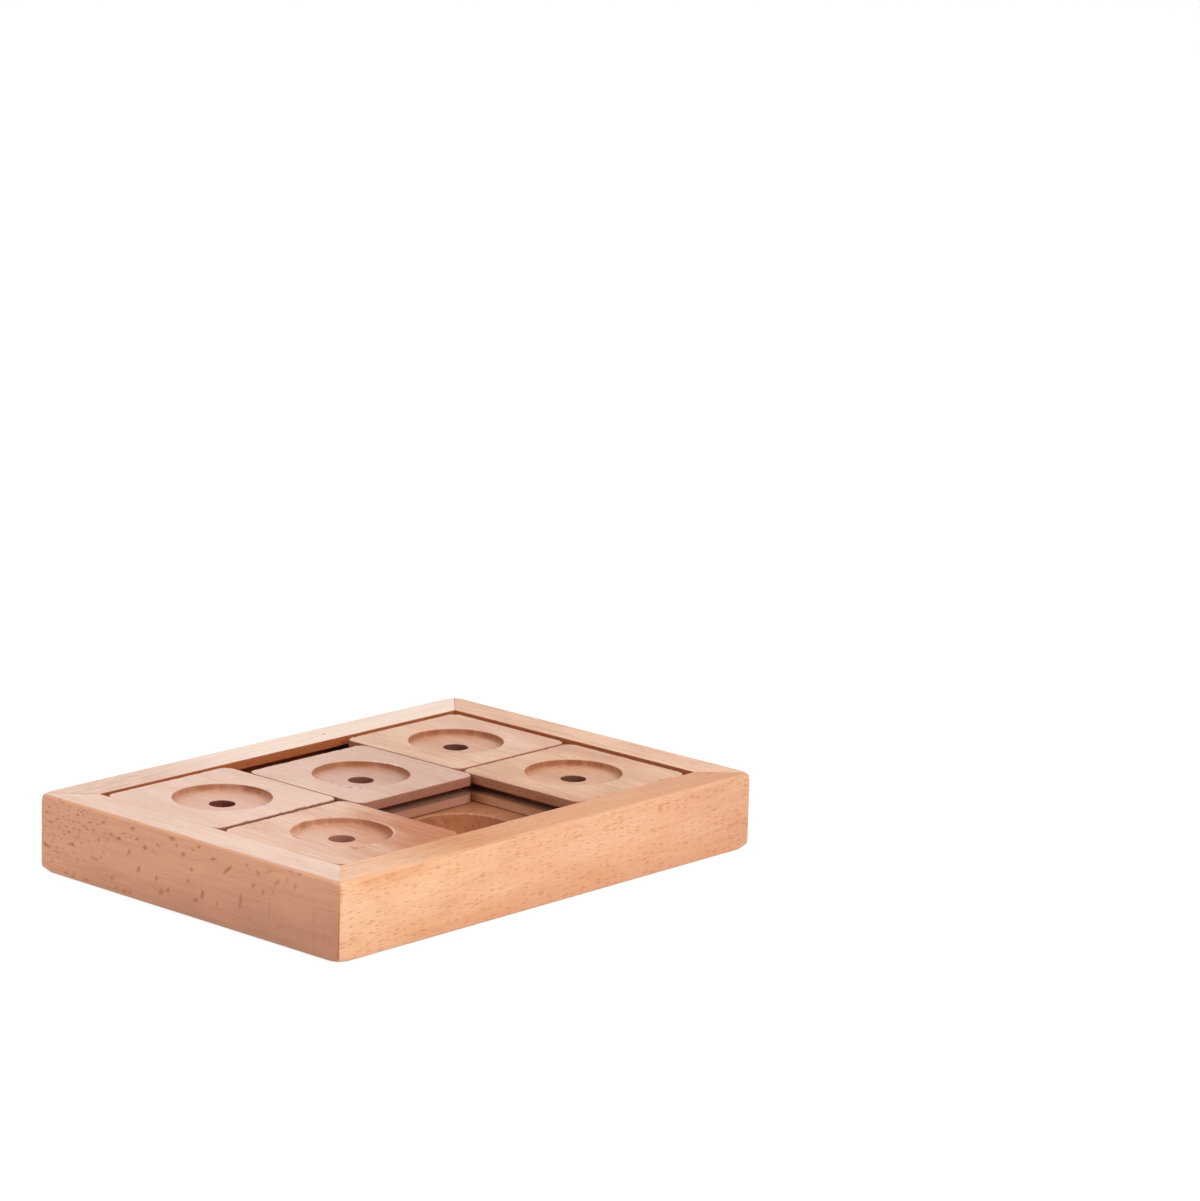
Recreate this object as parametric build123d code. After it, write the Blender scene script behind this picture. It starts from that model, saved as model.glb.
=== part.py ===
"""Sliding-tile treat puzzle for a dog: a mitred beech tray with five sliding tiles and one empty cell.

Millimetres. The origin is the centre of the tray's footprint on the surface it stands on, +X runs along the
long front side, +Y from the front to the back, +Z up. The tray has three columns and two rows of cells. Each
tile hides a round treat well in the deck below it, has a shallow dish on top with a hole at its centre, and
is held down by tongues and grooves: every tile has grooves in its front and left sides and tongues on its
back and right sides, as in a classic fifteen puzzle.
"""

from build123d import *
import math
import os

# --- Driving dimensions: tiles ---------------------------------------------------------------------------
TILE_SIDE = 70.0  # a tile's top plate and base are square
TILE_CORNER = 5.0  # corner radius of a tile seen from above
TILE_EDGE = 0.5  # sanded top and bottom edges of a tile
PLATE_THICK = 4.2  # top plate, above the groove
BASE_THICK = 4.0  # base, below the groove
SLOT_HEIGHT = 3.8  # height of the sliding groove
SLOT_DEPTH = 8.5  # how deep the groove is cut
TONGUE_CORNER = 6.0  # the corner where a tile's two tongues meet
TONGUE_END = 1.2  # rounding of a tongue's free ends
DISH_DIA = 42.5
DISH_DEPTH = 3.0
DISH_COVE = 1.8  # radius from the dish's wall to its floor
DISH_RIM = 0.3  # sanded rim of the dish
HOLE_DIA = 11.0  # hole through the middle of a tile
HOLE_RIM = 0.3

# --- Driving dimensions: tray ----------------------------------------------------------------------------
COLUMNS = 3
ROWS = 2
SPARE_X = 6.0  # free play left beside a full row of tiles
SPARE_Y = 6.0  # free play left beside a full column of tiles
RAIL_WIDTH = 17.5
FOOT_RECESS = 5.8  # height of the bottom panel's underside
PANEL_THICK = 4.0
PANEL_LET_IN = 5.0  # depth of the groove that holds the bottom panel
DECK_THICK = 12.0
WELL_DIA = 44.0
WELL_RIM = 0.6
STRIP_LET_IN = 8.0  # depth of the groove that holds a tongue strip
UPRIGHT_ROUND = 2.2  # outer upright corners of the tray
FOOT_ROUND = 2.0  # outer bottom edges
TOP_ROUND = 1.0  # outer top edges
INNER_ROUND = 0.4  # inner top edges
DOWEL_DIA = 5.0
DOWEL_COVER = 1.5  # wood left between a dowel's end and the outer face
DOWEL_LEVELS = (0.25, 0.75)  # between the panel's groove and the tiles' groove

# --- Clearances ------------------------------------------------------------------------------------------
GLIDE = 0.2  # under a tile, on the deck
TONGUE_PLAY = 0.3  # above and below a tongue in its groove
TONGUE_SHORT = 1.0  # a tongue stops this far from the bottom of its groove
PANEL_FIT = 0.25  # round the deck and the bottom panel, and at a strip's ends
STRIP_FIT = 0.1  # above and below a glued strip
MITRE_LINE = 0.06  # half of the glue line at a mitre
DOWEL_FIT = 0.1  # round a dowel
DOWEL_END = 0.4  # behind a dowel's end

# --- Where the tiles lie ---------------------------------------------------------------------------------
LEFT_GAP = 0.25  # left rail to the left column
COLUMN_GAP = 0.35  # left column to the middle tile
FRONT_GAP = 0.3  # front rail to the front row
BACK_LEFT_GAP = 3.6  # back rail to the back left tile
BACK_MIDDLE_GAP = 15.7  # back rail to the middle tile, which is part of the way to the empty cell
BACK_RIGHT_GAP = 4.3  # back rail to the back right tile
BACK_RIGHT_SHIFT = 0.5  # middle tile to the back right tile
FRONT_RIGHT_SHIFT = 0.3  # middle tile to the front right tile

# --- Derived sizes ---------------------------------------------------------------------------------------
TILE_THICK = BASE_THICK + SLOT_HEIGHT + PLATE_THICK
TONGUE_THICK = SLOT_HEIGHT - 2 * TONGUE_PLAY
TONGUE_REACH = SLOT_DEPTH - TONGUE_SHORT
INNER_X = COLUMNS * TILE_SIDE + SPARE_X
INNER_Y = ROWS * TILE_SIDE + SPARE_Y
TRAY_X = INNER_X + 2 * RAIL_WIDTH
TRAY_Y = INNER_Y + 2 * RAIL_WIDTH
LEFT = -INNER_X / 2  # inner faces of the rails
RIGHT = INNER_X / 2
FRONT = -INNER_Y / 2
BACK = INNER_Y / 2
DECK_Z = FOOT_RECESS + PANEL_THICK
TILE_Z = DECK_Z + DECK_THICK + GLIDE
SLOT_Z = TILE_Z + BASE_THICK
TONGUE_Z = SLOT_Z + TONGUE_PLAY
TRAY_HEIGHT = TILE_Z + TILE_THICK  # the rails are flush with the tiles
OVERRUN = 1.0  # how far a cutting solid runs past what it cuts


def block(x0, y0, z0, x1, y1, z1):
    """A box between two opposite corners."""
    return Pos((x0 + x1) / 2, (y0 + y1) / 2, (z0 + z1) / 2) * Box(x1 - x0, y1 - y0, z1 - z0)


def tile_plate(thick, z):
    """A square plate with rounded corners, its front left corner at the origin."""
    outline = RectangleRounded(TILE_SIDE, TILE_SIDE, TILE_CORNER)
    return Pos(TILE_SIDE / 2, TILE_SIDE / 2, z) * extrude(outline, thick)


def along_diagonal(edge):
    """How far an edge lies towards the back right corner."""
    return edge.center().X + edge.center().Y


def tongue_layer():
    """The middle of a tile: its core behind the two grooves, with the two tongues."""
    far = TILE_SIDE + OVERRUN
    middle = tile_plate(SLOT_HEIGHT, BASE_THICK)
    core = middle & block(SLOT_DEPTH, SLOT_DEPTH, 0, far, far, TILE_THICK)
    tip = TILE_SIDE + TONGUE_REACH
    low = BASE_THICK + TONGUE_PLAY
    tongues = block(SLOT_DEPTH, SLOT_DEPTH, low, tip, tip, low + TONGUE_THICK)
    free_ends = tongues.edges().filter_by(Axis.Z).sort_by(along_diagonal)[1:3]
    tongues = fillet(free_ends, TONGUE_END)
    meeting_corner = tongues.edges().filter_by(Axis.Z).sort_by(along_diagonal)[-1:]
    tongues = fillet(meeting_corner, TONGUE_CORNER)
    return core + tongues


def dish():
    """The shallow round recess in a tile's top, as the solid to cut away."""
    cutter = Pos(0, 0, -DISH_DEPTH / 2) * Cylinder(DISH_DIA / 2, DISH_DEPTH)
    cutter = fillet(cutter.edges().filter_by(GeomType.CIRCLE).sort_by(Axis.Z)[:1], DISH_COVE)
    rim = Pos(0, 0, -DISH_RIM / 2) * Cone(DISH_DIA / 2, DISH_DIA / 2 + DISH_RIM, DISH_RIM)
    return cutter + rim


def make_tile():
    """One tile with its front left bottom corner at the origin."""
    base = tile_plate(BASE_THICK, 0)
    base = fillet(base.faces().sort_by(Axis.Z)[0].edges(), TILE_EDGE)
    plate = tile_plate(PLATE_THICK, BASE_THICK + SLOT_HEIGHT)
    plate = fillet(plate.faces().sort_by(Axis.Z)[-1].edges(), TILE_EDGE)
    tile = base + tongue_layer() + plate
    top_centre = Pos(TILE_SIDE / 2, TILE_SIDE / 2, TILE_THICK)
    tile -= top_centre * dish()
    tile -= top_centre * Pos(0, 0, -TILE_THICK / 2) * Cylinder(HOLE_DIA / 2, TILE_THICK)
    hole_rim = Cone(HOLE_DIA / 2, HOLE_DIA / 2 + HOLE_RIM, HOLE_RIM)
    tile -= top_centre * Pos(0, 0, -DISH_DEPTH - HOLE_RIM / 2) * hole_rim
    return tile


def tray_ring():
    """The four rails as one ring, with the grooves for tiles, tongue strips and bottom panel."""
    ring = block(-TRAY_X / 2, -TRAY_Y / 2, 0, TRAY_X / 2, TRAY_Y / 2, TRAY_HEIGHT)
    ring = fillet(ring.edges().filter_by(Axis.Z), UPRIGHT_ROUND)
    ring = fillet(ring.faces().sort_by(Axis.Z)[0].edges(), FOOT_ROUND)
    ring = fillet(ring.faces().sort_by(Axis.Z)[-1].edges(), TOP_ROUND)
    ring -= block(LEFT, FRONT, -OVERRUN, RIGHT, BACK, TRAY_HEIGHT + OVERRUN)
    inner_top = ring.faces().sort_by(Axis.Z)[-1].inner_wires()[0].edges()
    ring = fillet(inner_top, INNER_ROUND)
    # The tiles' tongues run in the right and back rails.
    slot_top = SLOT_Z + SLOT_HEIGHT
    ring -= block(LEFT, FRONT, SLOT_Z, RIGHT + SLOT_DEPTH, BACK + SLOT_DEPTH, slot_top)
    # The tongue strips are glued into the front and left rails.
    strip_low = TONGUE_Z - STRIP_FIT
    strip_high = TONGUE_Z + TONGUE_THICK + STRIP_FIT
    ring -= block(LEFT - STRIP_LET_IN, FRONT - STRIP_LET_IN, strip_low, RIGHT, FRONT, strip_high)
    ring -= block(LEFT - STRIP_LET_IN, FRONT, strip_low, LEFT, BACK, strip_high)
    # The bottom panel, with the deck glued on it, is let into all four rails.
    ring -= block(
        LEFT - PANEL_LET_IN,
        FRONT - PANEL_LET_IN,
        FOOT_RECESS - PANEL_FIT,
        RIGHT + PANEL_LET_IN,
        BACK + PANEL_LET_IN,
        DECK_Z + PANEL_FIT,
    )
    return ring


def mitre_sector(along_x, side):
    """The part of the plan that one rail takes: everything on its side of the two mitre lines."""
    half_x = TRAY_X / 2 + OVERRUN
    half_y = TRAY_Y / 2 + OVERRUN
    spread = half_x - half_y
    line = MITRE_LINE * math.sqrt(2)
    if along_x:
        corners = [
            (-half_x + line, side * half_y),
            (half_x - line, side * half_y),
            (spread - line, 0),
            (-spread + line, 0),
        ]
    else:
        corners = [
            (side * half_x, -half_y + line),
            (side * half_x, half_y - line),
            (side * (spread + line), 0),
        ]
    outline = make_face(Polyline(*corners, close=True))
    return Pos(0, 0, -OVERRUN) * extrude(outline, TRAY_HEIGHT + 2 * OVERRUN, dir=(0, 0, 1))


def corner_dowels(x_side, y_side, clearance, extra):
    """The two dowels across one mitre, square to it, one above the other."""
    radius = DOWEL_DIA / 2
    half_length = math.sqrt(2) * (RAIL_WIDTH / 2 - DOWEL_COVER) - radius
    low = DECK_Z + PANEL_FIT
    x = x_side * (INNER_X + RAIL_WIDTH) / 2
    y = y_side * (INNER_Y + RAIL_WIDTH) / 2
    turn = 45 if x_side * y_side < 0 else -45
    pair = []
    for level in DOWEL_LEVELS:
        z = low + level * (SLOT_Z - low)
        place = Pos(x, y, z) * Rot(0, 0, turn) * Rot(0, 90, 0)
        pair.append(place * Cylinder(radius + clearance, 2 * (half_length + extra)))
    return pair


def deck_board():
    """The board under the tiles, bored with one treat well under each cell."""
    deck_top = DECK_Z + DECK_THICK
    deck = block(
        LEFT + PANEL_FIT, FRONT + PANEL_FIT, DECK_Z, RIGHT - PANEL_FIT, BACK - PANEL_FIT, deck_top
    )
    well = Pos(0, 0, -DECK_THICK / 2) * Cylinder(WELL_DIA / 2, DECK_THICK)
    well += Pos(0, 0, -WELL_RIM / 2) * Cone(WELL_DIA / 2, WELL_DIA / 2 + WELL_RIM, WELL_RIM)
    for column in range(COLUMNS):
        for row in range(ROWS):
            x = LEFT + (column + 0.5) * INNER_X / COLUMNS
            y = FRONT + (row + 0.5) * INNER_Y / ROWS
            deck -= Pos(x, y, deck_top) * well
    return deck


def tongue_strips():
    """The strips in the front and left rails, which stand in for a neighbouring tile's tongues."""
    seat = STRIP_LET_IN - PANEL_FIT
    top = TONGUE_Z + TONGUE_THICK
    front_edge = FRONT + TONGUE_REACH
    front = block(LEFT - seat, FRONT - seat, TONGUE_Z, RIGHT - PANEL_FIT, front_edge, top)
    left = block(
        LEFT - seat, front_edge + PANEL_FIT, TONGUE_Z, LEFT + TONGUE_REACH, BACK - PANEL_FIT, top
    )
    return {"front_tongue_strip": front, "left_tongue_strip": left}


def tile_places():
    """The front left bottom corner of each tile, by node name."""
    middle_x = LEFT + LEFT_GAP + TILE_SIDE + COLUMN_GAP
    third_x = middle_x + TILE_SIDE
    back_row = BACK - TILE_SIDE
    return {
        "tile_front_left": (LEFT + LEFT_GAP, FRONT + FRONT_GAP),
        "tile_front_right": (third_x + FRONT_RIGHT_SHIFT, FRONT + FRONT_GAP),
        "tile_back_left": (LEFT + LEFT_GAP, back_row - BACK_LEFT_GAP),
        "tile_back_middle": (middle_x, back_row - BACK_MIDDLE_GAP),
        "tile_back_right": (third_x + BACK_RIGHT_SHIFT, back_row - BACK_RIGHT_GAP),
    }


def build():
    """Every piece by node name."""
    nodes = {}
    ring = tray_ring()
    corners = {
        "front_left": (-1, -1),
        "front_right": (1, -1),
        "back_left": (-1, 1),
        "back_right": (1, 1),
    }
    for name, (x_side, y_side) in corners.items():
        for hole in corner_dowels(x_side, y_side, DOWEL_FIT, DOWEL_END):
            ring -= hole
        nodes["corner_dowels_" + name] = Compound(corner_dowels(x_side, y_side, 0, 0))
    nodes["front_rail"] = ring & mitre_sector(True, -1)
    nodes["back_rail"] = ring & mitre_sector(True, 1)
    nodes["left_rail"] = ring & mitre_sector(False, -1)
    nodes["right_rail"] = ring & mitre_sector(False, 1)
    nodes.update(tongue_strips())
    nodes["deck_board"] = deck_board()
    reach = PANEL_LET_IN - PANEL_FIT
    nodes["bottom_panel"] = block(
        LEFT - reach, FRONT - reach, FOOT_RECESS, RIGHT + reach, BACK + reach, DECK_Z
    )
    tile = make_tile()
    for name, (x, y) in tile_places().items():
        nodes[name] = Pos(x, y, TILE_Z) * tile
    return nodes


os.makedirs("parts", exist_ok=True)
for node, shape in build().items():
    export_step(shape, "parts/" + node + ".step")
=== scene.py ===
"""Looks of the sliding-tile treat puzzle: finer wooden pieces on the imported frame, beech and the studio."""

from math import asin, cos, degrees, pi, radians, sin, sqrt
from types import SimpleNamespace

import bpy
import numpy as np
from mathutils import Matrix, Vector
from mathutils.geometry import tessellate_polygon


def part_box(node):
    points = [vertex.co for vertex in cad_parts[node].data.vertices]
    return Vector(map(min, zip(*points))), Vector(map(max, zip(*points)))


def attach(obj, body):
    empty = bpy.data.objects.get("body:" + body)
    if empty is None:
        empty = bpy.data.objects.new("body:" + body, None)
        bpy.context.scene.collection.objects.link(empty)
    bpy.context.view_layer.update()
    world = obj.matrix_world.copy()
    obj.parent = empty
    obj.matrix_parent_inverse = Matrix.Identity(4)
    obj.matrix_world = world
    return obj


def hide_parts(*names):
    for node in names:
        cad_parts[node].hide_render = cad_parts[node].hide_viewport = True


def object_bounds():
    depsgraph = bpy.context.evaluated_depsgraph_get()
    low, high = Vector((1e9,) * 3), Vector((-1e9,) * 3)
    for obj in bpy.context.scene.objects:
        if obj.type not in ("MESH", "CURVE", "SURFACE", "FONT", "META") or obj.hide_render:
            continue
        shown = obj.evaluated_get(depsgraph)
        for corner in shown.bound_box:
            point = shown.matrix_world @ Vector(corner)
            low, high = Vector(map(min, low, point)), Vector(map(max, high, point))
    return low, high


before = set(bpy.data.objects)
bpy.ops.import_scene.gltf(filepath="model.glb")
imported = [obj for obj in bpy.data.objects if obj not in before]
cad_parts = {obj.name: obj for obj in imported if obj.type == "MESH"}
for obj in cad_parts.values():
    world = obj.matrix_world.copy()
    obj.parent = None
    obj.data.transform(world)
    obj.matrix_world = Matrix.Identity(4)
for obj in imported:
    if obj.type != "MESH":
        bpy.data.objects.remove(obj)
cad_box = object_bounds()

MM = 0.001

# --- Sizes of the CAD pieces that are made again here, in millimetres ---
HALF_X, HALF_Y, HEIGHT = (round(v / MM, 3) for v in cad_box[1])
TILE = 70.0
TILE_CORNER = 5.0
TILE_EDGE = 0.5
TILE_TOP = 12.0
TILE_Z = HEIGHT - TILE_TOP
PLATE_Z = 7.8  # underside of a tile's top plate
BASE_Z = 4.0  # top of its base, under the groove
SLOT = 8.5  # depth of the groove
REACH = 7.5  # how far a tongue stands out
TONGUE_LOW, TONGUE_HIGH = 4.3, 7.5
TONGUE_END, TONGUE_CORNER = 1.2, 6.0  # its rounding at a free end, and where two meet
DISH_R, DISH_Z, DISH_COVE = 21.25, 9.0, 1.2
HOLE_R = 5.5
RAIL = 17.5
UPRIGHT, FOOT, TOP, INNER = 2.2, 2.0, 1.0, 0.4  # rounding of the rails' edges
MITRE = 0.02  # half of the line between two rails
# Grooves in the rails as (low, high, depth): for the tiles' tongues, for a glued strip, for the bottom panel.
OPEN_SLOT = (TILE_Z + BASE_Z, TILE_Z + PLATE_Z, SLOT)
STRIP_SLOT = (26.2, 29.6, 8.0)
PANEL_SLOT = (5.55, 10.05, 5.0)
DOWEL_R, DOWEL_DEEP, DOWEL_SIDES = 2.6, 8.153, 20  # blind bores in a mitre
DOWEL_LEVELS = (0.25, 0.75)  # between the panel's groove and the tiles' groove


# --- Coherent noise for the meshes, from -1 to 1 ---
LATTICE = 4096


def lattice(seed):
    return np.random.default_rng(seed).uniform(-1, 1, LATTICE)


def unit(v):
    return np.clip(v, 0, 1)


def eased(f):
    return f * f * (3 - 2 * f)


def noise1(x, seed):
    """Smooth noise along a line."""
    table = lattice(seed)
    cell = np.floor(x).astype(int)
    f = eased(x - cell)
    return table[cell % LATTICE] * (1 - f) + table[(cell + 1) % LATTICE] * f


def noise2(x, y, seed):
    """Smooth noise over a plane."""
    table = lattice(seed)
    xi, yi = np.floor(x).astype(int), np.floor(y).astype(int)
    fx, fy = eased(x - xi), eased(y - yi)

    def at(i, j):
        return table[(i * 73856093 ^ j * 19349663) % LATTICE]

    low = at(xi, yi) * (1 - fx) + at(xi + 1, yi) * fx
    high = at(xi, yi + 1) * (1 - fx) + at(xi + 1, yi + 1) * fx
    return low * (1 - fy) + high * fy


# --- Meshes ---
def mesh_from_rings(name, points, looks, close_rows, caps=()):
    """A mesh from a grid of points in mm, whose rows are closed rings. Points that coincide become one.
    looks are float attributes, caps (row, further points, faces over that row's points and them)."""
    rows, columns = points.shape[:2]
    flat = points.reshape(-1, 3)
    keys = np.round(flat * 1e4).astype(np.int64)
    _, first, to_new = np.unique(keys, axis=0, return_index=True, return_inverse=True)
    index = to_new.reshape(rows, columns)
    r, c = np.meshgrid(np.arange(rows if close_rows else rows - 1), np.arange(columns), indexing="ij")
    r1, c1 = (r + 1) % rows, (c + 1) % columns
    quads = np.stack([index[r, c], index[r1, c], index[r1, c1], index[r, c1]], -1).reshape(-1, 4)
    faces = []
    for quad in quads.tolist():
        corners = [v for i, v in enumerate(quad) if v != quad[i - 1]]
        if len(corners) > 2 and len(set(corners)) == len(corners):
            faces.append(corners)
    verts = flat[first]
    for row, further, cap_faces in caps:
        members = [*index[row].tolist(), *range(len(verts), len(verts) + len(further))]
        faces += [[members[i] for i in face] for face in cap_faces]
        verts = np.vstack([verts, further])
    mesh = bpy.data.meshes.new(name)
    mesh.from_pydata((verts * MM).tolist(), [], faces)
    for key, grid in looks.items():
        value = np.zeros(len(verts), np.float32)
        value[: len(first)] = grid.reshape(-1)[first]
        mesh.attributes.new(key, "FLOAT", "POINT").data.foreach_set("value", value)
    mesh.polygons.foreach_set("use_smooth", [True] * len(mesh.polygons))
    mesh.set_sharp_from_angle(angle=radians(38))
    mesh.update()
    ob = bpy.data.objects.new(name, mesh)
    bpy.context.scene.collection.objects.link(ob)
    return ob


# --- Tiles ---
TILE_LOOK = dict(
    chips=(),  # (x, y, radius, depth) on the top, in the tile's own mm
    wall=(0.8, 0.15),  # darkness of the dish's wall, partly its turned wood and partly painted shade, and how much that painted shade grows to the right
    glow=0.3,  # warmth of its floor
    fuzz=(),  # (from, to) in degrees of fibres raised on its rim
    rough_rim=None,  # (from, to, depth) of a chipped stretch of the rim
    rim_line=None,  # (from, to, darkness) of a painted shadow line under the rim
    dark=(1, 1, 1, 1),  # painted shade on the left, front, right and back sides, deepest beside a narrow seam
    torn_by=(1, 1, 1, 1),  # how torn those sides' edges are
    soft=(1, 1, 1, 1),  # how rounded they are
    snug=(0, 0),  # how much nearer to the rails the left and front edges are
    warm_line=0.0,  # darkness of a painted shade line along the left edge near the front, where it meets the rail
)


def tile_outline():
    """Points round a tile's plate, outward normals, and the points of its core or tongues beside them."""
    per_corner, per_side, per_end = 16, 112, 12
    near, far = TILE_CORNER, TILE - TILE_CORNER
    tip = TILE + REACH
    samples = []

    def core(x, y):
        return (max(x, SLOT), max(y, SLOT))

    def corner(centre_x, centre_y, start, tongue_centre=None):
        for i in range(per_corner):
            a = radians(start + 90 * i / per_corner)
            nx, ny = cos(a), sin(a)
            x, y = centre_x + TILE_CORNER * nx, centre_y + TILE_CORNER * ny
            beside = core(x, y)
            if tongue_centre:
                beside = (tongue_centre + TONGUE_CORNER * nx, tongue_centre + TONGUE_CORNER * ny)
            samples.append(((x, y), (nx, ny), beside))

    def straight(start, stop, normal, count, path=None):
        for i in range(count):
            t = i / count
            x, y = (p + (q - p) * t for p, q in zip(start, stop))
            samples.append(((x, y), normal, path(t) if path else core(x, y)))

    def free_end(t):
        """From the core along the right tongue's front end and round its corner."""
        if t < 0.5:
            return (TILE + (REACH - TONGUE_END) * t / 0.5, SLOT)
        a = radians(-90 + 90 * (t - 0.5) / 0.5)
        return (tip - TONGUE_END + TONGUE_END * cos(a), SLOT + TONGUE_END + TONGUE_END * sin(a))

    def tongue_side(t):
        return (tip, SLOT + TONGUE_END + (tip - TONGUE_CORNER - SLOT - TONGUE_END) * t)

    def mirrored(path):
        """The same for the back tongue, which is met the other way round."""
        return lambda t: path(1 - t)[::-1]

    corner(near, near, 180)
    straight((near, 0), (far, 0), (0, -1), per_side)
    corner(far, near, 270)
    straight((TILE, near), (TILE, SLOT), (1, 0), per_end, free_end)
    straight((TILE, SLOT), (TILE, far), (1, 0), per_side, tongue_side)
    corner(far, far, 0, tip - TONGUE_CORNER)
    straight((far, TILE), (SLOT, TILE), (0, 1), per_side, mirrored(tongue_side))
    straight((SLOT, TILE), (near, TILE), (0, 1), per_end, mirrored(free_end))
    corner(near, far, 90)
    straight((0, far), (0, near), (-1, 0), per_side)
    return (np.array(v, float) for v in zip(*samples))


def worn_edge(outline, normal, seed, look):
    """How a tile's outer edge varies round it."""
    nx, ny = normal.T
    share = unit([-nx, -ny, nx, ny]) ** 2
    # dark is painted shade on each side, deepest beside a narrow seam; the painted shade line by the left
    # rail is added to it.
    dark, torn_by, soft = (np.array(v) @ share for v in (look.dark, look.torn_by, look.soft))
    gap_shade = look.warm_line * share[0] * unit((38 - outline[:, 1]) / 26)
    # It is torn more across the grain, which runs along y.
    across = np.abs(ny)
    torn = 0.05 + 0.10 * across
    length = np.concatenate([[0], np.cumsum(np.linalg.norm(np.diff(outline, axis=0), axis=1))])
    ragged = torn * (0.5 + 0.5 * noise1(length / 0.9, seed))
    ragged += torn * np.maximum(noise1(length / 2.3, seed + 1) - 0.45, 0) * 4.5
    ragged *= 0.35 + 0.65 * unit(across + 0.35 * (nx > 0))
    return SimpleNamespace(
        outline=outline - share[:2].T * look.snug,
        normal=normal,
        rounding=TILE_EDGE * soft,
        ragged=ragged * torn_by,
        dark=dark + gap_shade,
        gap_shade=gap_shade,
    )


def worn_rim(angle, seed, look):
    """How a dish varies round it: its rim, raised fibres, and the darkness of its wall and floor, which is
    partly painted shade.
    """

    def ripple(waves, start, step):
        return noise1(angle / (2 * pi) * waves + start, seed + step)

    def stretch(start, stop, rise):
        """1 between two angles in degrees, falling to 0 at both."""
        middle, half = radians((start + stop) / 2), radians(abs(stop - start) / 2)
        off = np.abs((angle - middle + pi) % (2 * pi) - pi)
        return unit(rise * (1 - off / half))

    uneven = 0.05 * ripple(180, 400, 2) + 0.04 * ripple(70, 400, 3)
    # The wall is darker, partly its turned wood and partly painted shade that deepens towards the right.
    wall = look.wall[0] + look.wall[1] * np.cos(angle - radians(25))
    wall = wall * (1 + 0.13 * ripple(26, 300, 8) + 0.13 * ripple(90, 300, 9))
    if look.rough_rim:
        start, stop, depth = look.rough_rim
        chipped = np.maximum(ripple(75, 700, 10), -0.2) + 0.4 * ripple(190, 700, 11)
        uneven = uneven + depth * stretch(start, stop, 1.5) * chipped
        wall = wall * (1 + 0.5 * stretch(start, stop, 1.5) * chipped)
    # A painted shadow line under the rim.
    line = np.zeros(len(angle))
    if look.rim_line:
        start, stop, darkness = look.rim_line
        line = darkness * stretch(start, stop, 1.6) * (1 + 0.3 * ripple(120, 500, 13))
    lift = np.zeros(len(angle))
    for start, stop in look.fuzz:
        tufts = 0.55 + 0.25 * noise1(angle * 60 + 900, seed + 4) + 0.2 * noise1(angle * 17 + 500, seed + 12)
        lift += stretch(start, stop, 1.4) * tufts
    # Painted shade on the floor at the foot of the wall, deepest towards the back right.
    floor = 0.13 * unit(0.3 + 0.7 * np.cos(angle - radians(45)))
    return SimpleNamespace(uneven=uneven, wall=wall, line=line, lift=lift, floor=floor)


def ring(xy, z, sawn_and_shade=0.0, edge=0.0, hole=0.0, wall=0.0):
    """A closed ring of a tile's skin: its points, how sawn and painted in shade, how worn and how bored they
    are, and how dark the dish's wall is there.
    """
    return np.column_stack([xy, *(np.broadcast_to(v, len(xy)) for v in (z, sawn_and_shade, edge, hole, wall))])


def dish_rings(circle, rim):
    """From the foot of the hole over the dish's floor and up its wall to the rim."""
    rings = [ring(circle(HOLE_R), z, hole=1.0) for z in (0.25, 2.5, 5.0, 7.0, 8.2, 8.6)]
    rings.append(ring(circle(HOLE_R + 0.08), DISH_Z - 0.12, hole=0.8))
    rings.append(ring(circle(HOLE_R + 0.3), DISH_Z, sawn_and_shade=0.2))
    flat_end = DISH_R - DISH_COVE
    for r in np.linspace(HOLE_R + 0.8, flat_end - 0.3, 26):
        shade = rim.floor * unit((r - flat_end + 6) / 6) ** 2
        rings.append(ring(circle(r), DISH_Z, sawn_and_shade=0.12, wall=shade))
    for a in np.radians(np.linspace(-90, 0, 9)):
        climb = (a + pi / 2) / (pi / 2)
        shade = np.maximum(rim.wall * (0.35 + 0.65 * min(climb * 1.6, 1)), rim.floor)
        z = DISH_Z + DISH_COVE + DISH_COVE * sin(a)
        rings.append(ring(circle(flat_end + DISH_COVE * cos(a)), z, wall=shade))
    for z, lined in ((10.7, 0.0), (11.1, 0.5), (11.45, 1.0)):
        rings.append(ring(circle(DISH_R + rim.uneven * 0.4), z, wall=rim.wall + lined * rim.line))
    shade, bare = rim.wall + rim.line, unit(rim.lift)
    lip = DISH_R + rim.uneven
    rings += [
        ring(circle(lip + 0.02 - 0.34 * rim.lift), 11.66 - 0.06 * rim.lift, wall=shade * (1 - 0.9 * bare)),
        ring(circle(lip + 0.10 - 0.29 * rim.lift), 11.85, wall=shade * 0.6 * (1 - bare), edge=0.6),
        ring(circle(lip + 0.22 - 0.13 * rim.lift), 11.96, wall=0.1, edge=0.5),
        ring(circle(DISH_R + 0.45 + rim.uneven * 0.6), TILE_TOP, edge=0.2),
    ]
    return rings


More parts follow.
